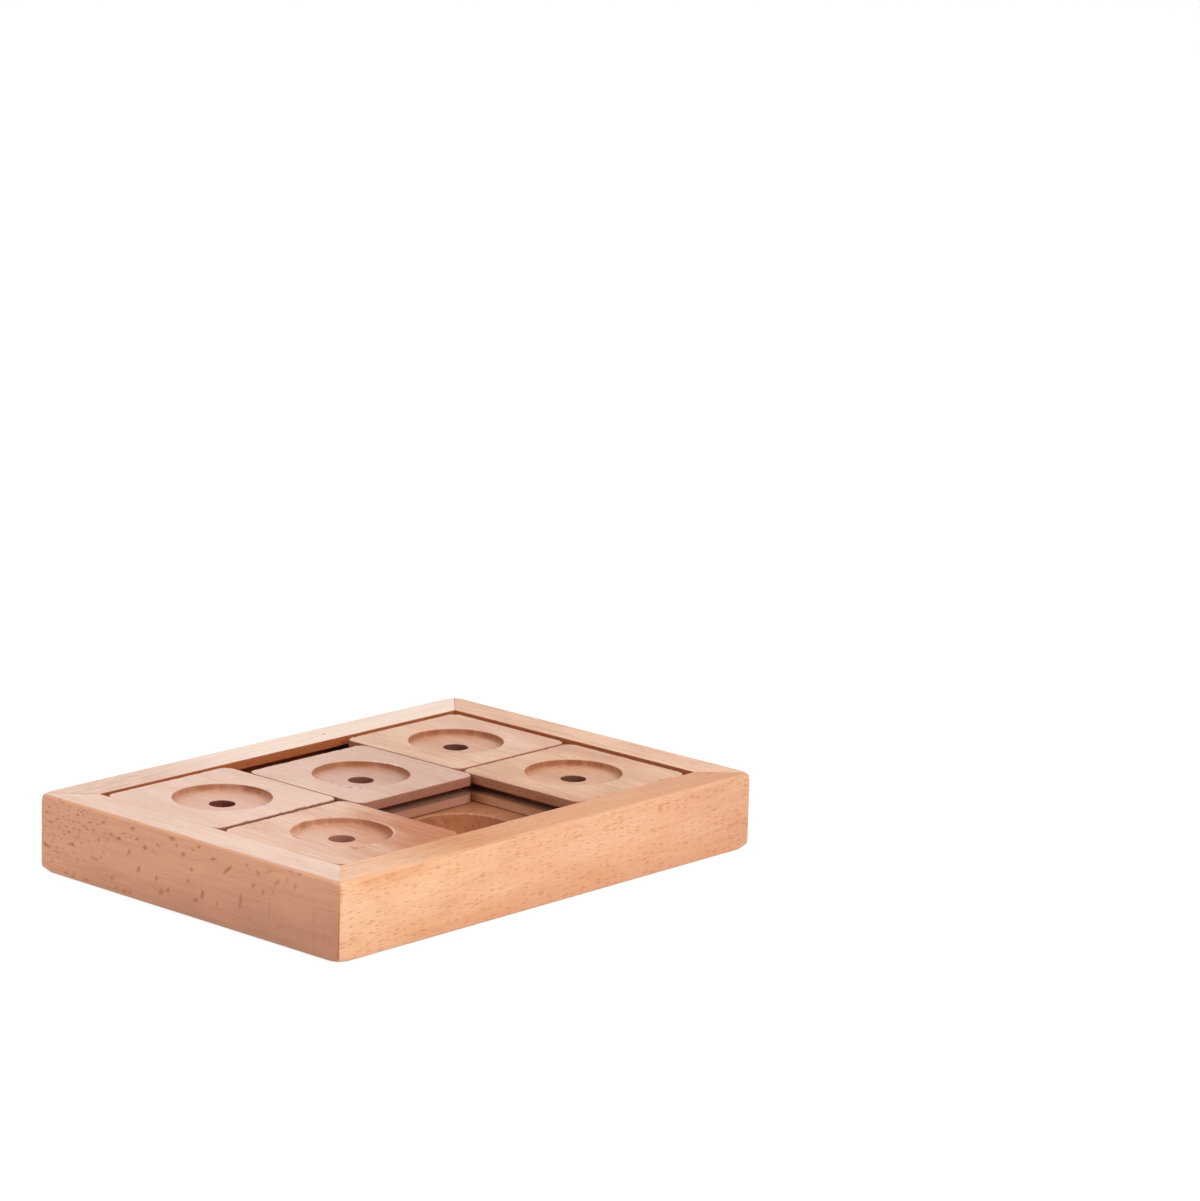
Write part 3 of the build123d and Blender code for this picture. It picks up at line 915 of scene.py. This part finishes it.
    def shade_dish(self):
        """The dish's wall is darker, partly its turned wood and partly painted shade, and so is the floor at
        the foot of the wall; darkest is the painted shadow line under the rim, and the floor is warmer.
        """
        wall = self.attribute("wall")
        self.paint((158, 98, 62), wall)
        self.multiply_tone((0.42, 0.34, 0.28), minus(wall, 1.0))
        self.roughen(0.2, wall)
        self.multiply_tone((0.99, 0.90, 0.85), self.attribute("glow"))

    def turn_dish(self, centre):
        """Rings that the cutter left in the dish, and scratches on its floor."""
        flat = vector("MULTIPLY", vector("SUBTRACT", self.at, centre), (1 / MM, 1 / MM, 0))
        reach = vector("LENGTH", flat)
        inside = ramp(reach, 21.6, 20.8)
        uneven = plus(reach, times(noise(scaled(self.still, 9, 9, 9)), 0.7))
        turned = maths("SINE", times(uneven, 7.2))
        self.height = plus(self.height, times(turned, inside, 0.12))
        scratch = ramp(noise(scaled(self.still, 5.0, 3.2, 3.2), 4.0, 0.7), 0.55, 0.75)
        self.paint((188, 132, 98), scratch, inside, self.look.scratches)

    def bore(self):
        """The hole is dark, with torn fibres in it."""
        hole = self.attribute("hole")
        self.paint(self.look.hole_colour, hole)
        fibres = noise(scaled(self.still, 2.4, 0.7, 0.7), 3.0, 0.7)
        self.multiply_tone((0.42, 0.36, 0.34), hole, ramp(fibres, 0.42, 0.6, 0.0, self.look.hole_burr))

    def finish(self):
        bump = add("Bump", {"Strength": 0.35, "Distance": 0.00012, "Height": self.height})
        inputs = {"Base Color": self.colour, "Roughness": self.gloss, "Normal": bump.outputs[0]}
        inputs.update({"IOR": 1.5, "Specular IOR Level": 0.5})
        shader = add("BsdfPrincipled", inputs)
        add("OutputMaterial", {0: shader.outputs[0]})
        return self.material


def tile_wood(node, seed, **look):
    """A tile's beech, whose grain runs along y."""
    wood = Beech(node, (0.03, 1, 0), (0.2, 0, 1), seed, **look)
    wood.saw()
    wood.shade_dish()
    wood.wear()
    wood.paint((170, 112, 78), wood.attribute("chip"), 0.55)
    wood.paint((250, 226, 202), wood.attribute("lift"), 0.85)
    low_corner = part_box(node)[0]
    wood.turn_dish((low_corner.x + TILE / 2 * MM, low_corner.y + TILE / 2 * MM, 0))
    wood.bore()
    return wood.finish()


def rail_wood(side, seed, **look):
    """A rail's beech, with the larger flecks of its outer face and the specks of its top."""
    wood = Beech(side + "_rail", seed=seed, sawn_and_shade_colour=(172, 86, 32), sawn_and_shade_power=1.0, **look)
    fleck = wood.attribute("fleck")
    wood.paint((160, 74, 26), fleck, ramp(wood.fibres, 0.2, 0.8, 0.75))
    wood.height = minus(wood.height, times(fleck, 0.4))
    wood.saw()
    wood.paint((58, 30, 26), wood.attribute("speck"))
    wood.wear()
    return wood.finish()


def dress(ob, material):
    ob.data.materials.clear()
    ob.data.materials.append(material)


# --- Camera, at the photograph's viewing angle ---
AZIMUTH, ELEVATION, ROLL = radians(47.988), radians(12.875), radians(-1.611)
EYE = Vector((-1.32711, -1.30698, 0.5418))
LENS, SENSOR = 134.68, 36.0


def add_camera():
    level = cos(ELEVATION)
    forward = Vector((level * sin(AZIMUTH), level * cos(AZIMUTH), -sin(ELEVATION)))
    level_right = Vector((cos(AZIMUTH), -sin(AZIMUTH), 0))
    level_down = forward.cross(level_right)
    right = level_right * cos(ROLL) + level_down * sin(ROLL)
    down = level_down * cos(ROLL) - level_right * sin(ROLL)
    camera = bpy.data.cameras.new("camera")
    camera.lens = LENS
    camera.sensor_width = SENSOR
    camera.clip_start, camera.clip_end = 0.05, 50
    eye = bpy.data.objects.new("camera", camera)
    bpy.context.scene.collection.objects.link(eye)
    eye.matrix_world = Matrix.Translation(EYE) @ Matrix((right, -down, -forward)).transposed().to_4x4()
    bpy.context.scene.camera = eye


# --- Floor, world and lamps ---
def seen_directly(tree):
    """1 for what the camera sees, itself or in gloss or glass, and 0 for light on its way to the object."""
    rays = add("LightPath", tree=tree).outputs
    seen = maths("MAXIMUM", rays["Is Camera Ray"], rays["Is Glossy Ray"])
    return maths("MAXIMUM", seen, rays["Is Transmission Ray"])


def add_floor():
    """Pale paper that looks nearly white and keeps the object's shadow."""
    mesh = bpy.data.meshes.new("floor")
    mesh.from_pydata([(-6, -6, 0), (6, -6, 0), (6, 6, 0), (-6, 6, 0)], [], [(0, 1, 2, 3)])
    floor = bpy.data.objects.new("floor", mesh)
    bpy.context.scene.collection.objects.link(floor)
    material = bpy.data.materials.new("floor_paper")
    tree = empty_tree(material)
    tooth = noise(vector("MULTIPLY", add("TexCoord", tree=tree).outputs["Object"], (900, 900, 900)))
    bump = add("Bump", {"Strength": 0.05, "Distance": 0.0001, "Height": tooth}).outputs[0]
    paper = add("BsdfDiffuse", {"Color": (0.82, 0.815, 0.81, 1), "Normal": bump}).outputs[0]
    lit = add("BsdfDiffuse", {"Color": (1.6, 1.6, 1.6, 1)}, tree).outputs[0]
    white = add("Emission", {"Color": (1, 1, 1, 1), "Strength": 1.0}, tree).outputs[0]
    add("OutputMaterial", {0: blend(seen_directly(tree), paper, blend(0.78, lit, white))})
    dress(floor, material)
    return floor


def add_world():
    world = bpy.data.worlds.new("studio")
    bpy.context.scene.world = world
    tree = empty_tree(world)
    ambient = add("Background", {0: (0.97, 0.98, 1.0, 1), 1: 0.6}, tree).outputs[0]
    backdrop = add("Background", {0: (1, 1, 1, 1), 1: 1.0}, tree).outputs[0]
    add("OutputWorld", {0: blend(seen_directly(tree), ambient, backdrop)})


def add_lamp(name, place, size, watts, colour):
    """A softbox that points at the middle of the tray."""
    data = bpy.data.lights.new(name, "AREA")
    data.shape = "RECTANGLE"
    data.size, data.size_y = size
    data.energy = watts
    data.color = colour
    ob = bpy.data.objects.new(name, data)
    bpy.context.scene.collection.objects.link(ob)
    ob.location = place
    ob.rotation_mode = "QUATERNION"
    ob.rotation_quaternion = (Vector((0, 0, 0.02)) - Vector(place)).to_track_quat("-Z", "Y")


add_camera()
floor = add_floor()
add_world()
add_lamp("key_softbox", (0.25, -1.9, 1.35), (1.3, 1.0), 30, (1.0, 0.95, 0.89))
add_lamp("fill_softbox", (-1.6, 0.5, 1.6), (1.2, 1.2), 13, (1.0, 0.97, 0.94))
bpy.context.scene.view_settings.view_transform = "Standard"

# --- The tiles ---
TILES = {
    "tile_back_left": dict(
        seed=11, wall=(0.72, 0.10), glow=1, rim_line=(-55, 35, 0.5), chips=[(56.6, 30, 1.2, 0.35)],
        dark=(0.1, 1.33, 1, 1), torn_by=(0.2, 2.7, 1, 1), soft=(0.3, 1, 1, 1), snug=(0.15, 0),
    ),
    "tile_back_middle": dict(
        seed=23, wall=(0.78, 0.12), fuzz=[(-48, 62)], dark=(1.33, 1, 1.3, 1), torn_by=(2.2, 1, 1, 1),
        chips=[(15.6, 22, 1.5, 0.35), (14.4, 27, 1.1, 0.3), (18, 18.2, 1.2, 0.35), (13.7, 31.5, 0.8, 0.25)],
    ),
    "tile_back_right": dict(seed=37, dark=(1.33, 1, 1, 1)),
    "tile_front_left": dict(
        seed=41, wall=(0.44, 0.22), fuzz=[(-80, 20), (-125, -98)], rough_rim=(30, 160, 0.42),
        chips=[(22, 14.6, 2.2, 0.55), (25.4, 13.2, 1.2, 0.4)], dark=(0.1, 0.2, 1, 1.33),
        torn_by=(0.4, 0.2, 1, 2.1), soft=(0.4, 0.3, 1, 1), snug=(0.15, 0.12), warm_line=0.5,
    ),
    "tile_front_right": dict(seed=59, dark=(1, 0.3, 1, 1), soft=(1, 0.4, 1, 1), snug=(0, 0.12)),
}
# Each tile's wood; the slightly bluer pale tones of the back left and back middle tiles are partly painted
# reflection.
TILE_WOODS = {
    "tile_back_left": dict(
        pale=(234, 198, 181), deep=(226, 187, 167), tint=(208, 152, 118), rings=0.12, period=3.4,
        pith=(18, 90), fibre=0.6, mottle=0.35, hole_colour=(124, 62, 44), hole_burr=0.9,
    ),
    "tile_back_middle": dict(
        pale=(229, 193, 176), deep=(220, 180, 160), tint=(202, 148, 118), rings=0.15, period=3,
        pith=(12, 75), fibre=0.65, mottle=0.45, hole_colour=(134, 84, 69), scratches=0.6,
        # painted shade towards the front right
        shades=[((0.8, -0.6, 0), -60, 10, (198, 152, 132), 0.6, 0)],
    ),
    "tile_back_right": dict(
        pale=(230, 187, 158), deep=(216, 166, 134), tint=(196, 140, 106), rings=0.25,
        pith=(20, 60), hole_colour=(112, 66, 48),
    ),
    "tile_front_left": dict(
        pale=(236, 196, 172), deep=(225, 177, 149), tint=(196, 138, 102), rings=0.35, period=2.3,
        pith=(-30, 40), fibre=0.8, mottle=0.4, hole_colour=(176, 118, 99), sawn_and_shade_colour=(170, 92, 52),
        # painted shade towards the front right, browner and duller there
        shades=[((0.78, -0.62, 0), -44, 2, (184, 106, 56), 0.82, 0.35)],
    ),
    "tile_front_right": dict(
        pale=(228, 180, 144), deep=(210, 156, 120), tint=(188, 128, 92), rings=0.35, period=2.5,
        pith=(24, 50), fleck_share=0.35, fleck_power=0.3, fibre=0.6, hole_colour=(120, 72, 52),
    ),
}
for node, facts in TILES.items():
    looks = {"fleck_share": 0.3, "fleck_power": 0.22, **TILE_WOODS[node]}
    dress(make_tile(node, **facts), tile_wood(node, facts["seed"], **looks))

# --- The rails ---
# Ray flecks on the left rail's outer face: from its back end, height, length, width, tilt, darkness.
LEFT_FLECKS = [
    (14.1, 33, 3.5, 0.7, -3, 0.6), (28.6, 32.2, 1.9, 0.7, 10, 0.6), (24.4, 29.5, 1.9, 0.9, 0, 0.7),
    (40.8, 29.6, 1.9, 1.1, 12, 0.7), (32.3, 27.8, 1.9, 0.8, 10, 0.7), (5, 26.4, 2.1, 0.8, 0, 0.6),
    (11.3, 24.8, 1.7, 0.8, 15, 0.7), (6.9, 22.6, 3, 0.7, 3, 0.7), (30.5, 24.5, 2.1, 0.8, 5, 0.75),
    (34.4, 24.8, 2.6, 0.6, 0, 0.55), (25.4, 23, 1.8, 0.6, 5, 0.55), (18.8, 20.8, 2.1, 0.9, 0, 0.8),
    (15.9, 19.1, 1.5, 0.8, 5, 0.65), (37.6, 21.2, 1.9, 0.9, 5, 0.7), (45.3, 25.4, 2.5, 1.1, 10, 0.6),
    (50.3, 24.6, 2.7, 1.4, 15, 0.8), (43.1, 22.4, 1.7, 1.2, 75, 0.4), (53.3, 27.4, 2.6, 0.7, 10, 0.6),
    (61.3, 26.7, 2.7, 1, 25, 0.6), (58.8, 30.8, 3, 1.1, 12, 0.65), (66.3, 24, 2.5, 1.8, 10, 0.75),
    (71.3, 24, 1.6, 1.2, 85, 0.4), (74.2, 26.8, 2.3, 1, -10, 0.65), (82.8, 31.4, 3.8, 1.5, 0, 0.75),
    (85.6, 29.1, 1.7, 1.2, 0, 0.6), (89.4, 26.2, 2.5, 1.5, 20, 0.65), (56.3, 20, 3.6, 1.3, 62, 0.5),
    (62.4, 14, 3, 2, 60, 0.65), (73.3, 12.4, 2.1, 1.6, 85, 0.55), (80.5, 8.9, 2.3, 1.6, 60, 0.6),
    (76.4, 7.1, 2.9, 2, 30, 0.6), (45.9, 6.8, 2.5, 1.8, 35, 0.5), (35, 12.7, 3.2, 1, -8, 0.5),
    (20.8, 15.9, 2.9, 1.4, 0, 0.7), (9.3, 17.3, 1.5, 0.9, 0, 0.5), (7.9, 14.3, 1.4, 1, 30, 0.5),
    (4.5, 12.1, 4.6, 1.6, -14, 0.7), (53.9, 2.6, 2.3, 1.6, 0, 0.55), (57.2, 2.6, 2.3, 1.6, 20, 0.5),
    (98.8, 31.4, 2.1, 1.3, 0, 0.6), (95.6, 29.5, 1.7, 0.9, 0, 0.55), (107.5, 28.1, 3.4, 1.1, 12, 0.65),
    (116.1, 25.4, 6, 1.3, 38, 0.65), (94.6, 20.9, 1.5, 1.5, 0, 0.6), (92.6, 15.6, 1.9, 1.5, 0, 0.5),
    (101.3, 11.6, 3.4, 1.7, 80, 0.75), (97.1, 8.4, 2.9, 1.8, 15, 0.6), (110, 9.6, 1.9, 1.6, 0, 0.5),
    (123.8, 14, 6.2, 1.7, 82, 0.5), (131.3, 22.1, 2.5, 2, 20, 0.6), (137.1, 20.6, 2.7, 1.5, 60, 0.45),
    (142.7, 21.8, 2.7, 0.9, 85, 0.4), (140.8, 14.3, 8, 0.8, 90, 0.35), (134.1, 27.8, 2.5, 1.5, -20, 0.5),
    (140.2, 29.8, 5, 1, 25, 0.4), (127.5, 29.8, 1.8, 1.3, 0, 0.45), (145.2, 26.4, 3.8, 1.2, 50, 0.5),
    (151.1, 29, 2.3, 1.1, 70, 0.35), (155.6, 27.1, 2.5, 1.4, 80, 0.5), (153, 32.7, 2.6, 0.9, 0, 0.5),
    (157.9, 32.7, 2.6, 0.9, 0, 0.5), (17, 2.4, 2, 1.4, 0, 0.5), (21.2, 1.9, 1.8, 1.2, 0, 0.5),
    (30, 2.2, 2.4, 1.4, 0, 0.55), (22.8, 3.4, 1.6, 0.8, 20, 0.4), (48.5, 3.1, 2.2, 1.2, 30, 0.45),
    (166.4, 17.1, 6, 1.1, 90, 0.22), (166.4, 9, 3.8, 1.2, 88, 0.25), (172.4, 9.9, 3, 1.1, 88, 0.25),
    (147, 8.3, 4.5, 1.3, 10, 0.3), (129.3, 7.8, 2.1, 1.5, 0, 0.25),
]
# Small flecks near its back end: from the back end and height.
SMALL_FLECKS = [
    (10.3, 31.2), (19.5, 31.7), (27, 31.2), (30.3, 31.4), (42.3, 31.7), (18.5, 30.2), (3.2, 24.2),
    (9.5, 23.4), (12.8, 21.7), (14.3, 23.9), (17.3, 22.9), (22.3, 22.9), (21.5, 25.9), (37, 27.9),
    (39.3, 28.4), (41.5, 24.9), (48, 24.9), (57.8, 26.9), (77, 27.7), (14, 16.7), (11.3, 12.4), (12, 10.4),
    (10, 10.5), (17.8, 11.2), (15, 12.7), (24.3, 10), (29, 10.2), (39, 14.2), (26.5, 17.7), (23.3, 18.7),
    (33.2, 13.1), (36.8, 12.9), (43, 6.9), (6.5, 29), (12.2, 28.2), (15.6, 26.6), (28.9, 25.4), (3.4, 20.1),
    (5.6, 8.2), (8.1, 5.6),
]
GROWN = 1.1  # how much larger and darker they are drawn
left_marks = [
    (a, h, GROWN * long, GROWN * wide, tilt, GROWN * dark) for a, h, long, wide, tilt, dark in LEFT_FLECKS
]
left_marks += [(a, h, 1.5 + 0.5 * sin(7 * a), 0.75, 8 + 9 * sin(3 * h), 0.6) for a, h in SMALL_FLECKS]

RAILS = {
    "front": dict(
        seed=71, spacing=0.7, fine=60, slot=STRIP_SLOT, mitre_line=((0, 1), (0.6, 1)),
        inner_edge=0.15, wall_cut=0.6,
    ),
    "back": dict(
        seed=83, spacing=0.5, fine=40, slot=OPEN_SLOT, mitre_line=((0.8, 1), (1, 2.3)),
        specks=[(93, 9.5, 0.6), (84, 9, 0.35)],
    ),
    "left": dict(
        seed=97, spacing=0.4, fine=96, slot=STRIP_SLOT, mitre_line=((1, 2.3), (0, 1)), glue=(0.2, 0.8),
        marks=left_marks, inner_edge=0.15, wall_cut=0.6,
    ),
    "right": dict(seed=101, spacing=0.8, fine=40, slot=OPEN_SLOT, mitre_line=((0.6, 1), (0.8, 1))),
}
X, Y, Z = (1, 0, 0), (0, 1, 0), (0, 0, 1)
RAIL_WOODS = {
    "front": dict(
        grain=(1, 0, 0.045), ray=(0, 1, 0.12), pale=(237, 191, 154), deep=(233, 183, 144),
        tint=(218, 150, 102), rings=0.55, period=3.6, pith=(30, 45), ring_zone=((-0.8, 0, 0.6), 60, 108),
        fleck_size=(5, 0.66, 8), fleck_share=0.58, fleck_tint=(216, 148, 106), fleck_power=1,
        fibre=0.65, mottle=0.3, waves=0.9, edge_light=0.3,
        figure=[(X, -95, 38, (0.94, 0.86, 0.74), 0.5, (0, -0.7, 0.7)),
                (X, -25, 75, (0.9, 0.8, 0.68), 0.6, Z)],
        sides=[((0, -1, 0), (230, 172, 122), 0.55, 0, (Z, 21, 31), ((-1, 0, 0), 25, 85)),
               # painted shade browning the top's middle, duller there
               (Z, (202, 134, 84), 0.8, 0.35, (X, -105, -35))],
        # The face: darker towards the right as painted shade, darker at its foot, and lighter again low at
        # its left end.
        shades=[(X, -75, 10, (226, 174, 138), 0.7, 0), ((0, 0, -1), -22, -2, (214, 154, 113), 0.75, 0),
                (X, 50, 110, (210, 154, 120), 0.5, 0), ((-1, 0, -0.9), 72, 104, (238, 194, 158), 0.7, 0)],
    ),
    "back": dict(
        grain=(1, 0.01, 0), ray=(0, 1, 0.3), pale=(229, 184, 150), deep=(217, 168, 132), tint=(192, 140, 106),
        rings=0.3, pith=(20, -60), fleck_power=0.3, mottle=0.35, waves=0.8,
        figure=[(X, -88, 26, (0.84, 0.74, 0.68), 0.9, Z)],
        # The top: paler than the faces as painted sheen, and paler still right of its left end as a painted
        # highlight.
        sides=[(Z, (232, 196, 175), 0.95, 0), (Z, (250, 226, 210), 0.85, 0, (X, -75, -15))],
    ),
    "left": dict(
        grain=Y, ray=(1, 0, 0.15), pale=(237, 203, 184), deep=(231, 193, 172), tint=(204, 150, 122),
        rings=0.12, pith=(25, 80), fleck_size=(3.2, 1.05, 9), fleck_share=0.26, fleck_power=0.55,
        fleck_tint=(176, 112, 80), fleck_fade=((0, 0.94, 0.35), 10, 80), fibre=0.7, mottle=0.3, waves=0.5,
        # The outer face is darker as painted shade, and darker still towards its foot and front end.
        edge_light=0.2, sides=[((-1, 0, 0), (217, 156, 118), 0.97, 0)],
        shades=[((-0.35, -0.25, -1.4), 10, 52, (188, 130, 98), 0.85, 0)],
    ),
    "right": dict(
        grain=(0, 1, 0.01), ray=(1, 0, -0.2), pale=(236, 190, 156), deep=(224, 173, 138),
        tint=(198, 142, 106), rings=0.4, pith=(25, 70), mottle=0.4, waves=1,
    ),
}
for side, facts in RAILS.items():
    dress(make_rail(side, **facts), rail_wood(side, facts["seed"], **RAIL_WOODS[side]))

# --- The CAD's own meshes: grain, rays, seed and look ---
DECK_LOOK = dict(pale=(190, 130, 90), deep=(172, 112, 76), tint=(146, 88, 58))
STRIP_LOOK = dict(pale=(176, 114, 78), deep=(160, 98, 66))
PLAIN = {
    "deck_board": ((1, 0.02, 0), (0, 0.2, 1), 131, DECK_LOOK),
    "bottom_panel": (X, (0, 0.1, 1), 137, dict(pale=(226, 180, 140), deep=(214, 160, 118))),
    "front_tongue_strip": (X, Y, 139, STRIP_LOOK),
    "left_tongue_strip": (Y, X, 149, STRIP_LOOK),
}
DOWELS = {"front_left": (-1, 151), "front_right": (1, 157), "back_left": (1, 163), "back_right": (-1, 167)}
for corner, (slope, seed) in DOWELS.items():
    PLAIN["corner_dowels_" + corner] = ((1, slope, 0), Z, seed, dict(fleck_size=(3, 0.9, 4)))
for node, (grain, ray, seed, look) in PLAIN.items():
    dress(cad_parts[node], Beech(node, grain, ray, seed, **look).finish())
